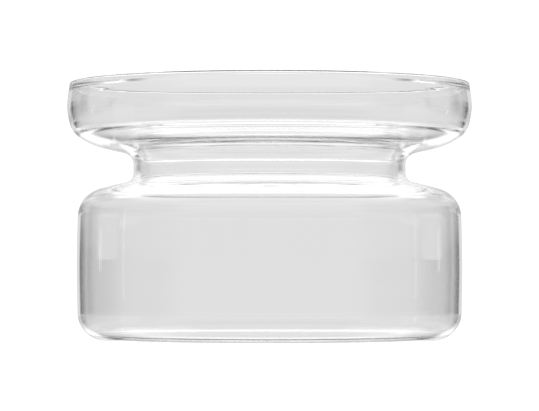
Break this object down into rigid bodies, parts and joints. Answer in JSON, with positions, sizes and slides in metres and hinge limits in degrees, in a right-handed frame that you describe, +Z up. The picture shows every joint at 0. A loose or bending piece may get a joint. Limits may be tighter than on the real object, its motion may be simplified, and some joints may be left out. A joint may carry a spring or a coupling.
{
  "type": "waisted glass vessel",
  "caption": "Clear glass vessel with a wide flat-bottomed chamber, a waisted neck and a shallow open bowl with a fire-polished rim.",
  "frame": {"origin": "centre of the flat resting face under the floor", "axes": "+Z up along the axis of revolution; +X to the right and +Y to the back, both arbitrary because the shape is round"},
  "size_m": [0.2198, 0.2198, 0.14],
  "materials": {
    "clear_glass": "polished"
  },
  "bodies": {
    "root": {"floor": "clear_glass", "foot": "clear_glass", "chamber_wall": "clear_glass", "shoulder": "clear_glass", "neck": "clear_glass", "bowl_floor": "clear_glass", "bowl_wall": "clear_glass", "rim": "clear_glass"}
  },
  "joints": []
}
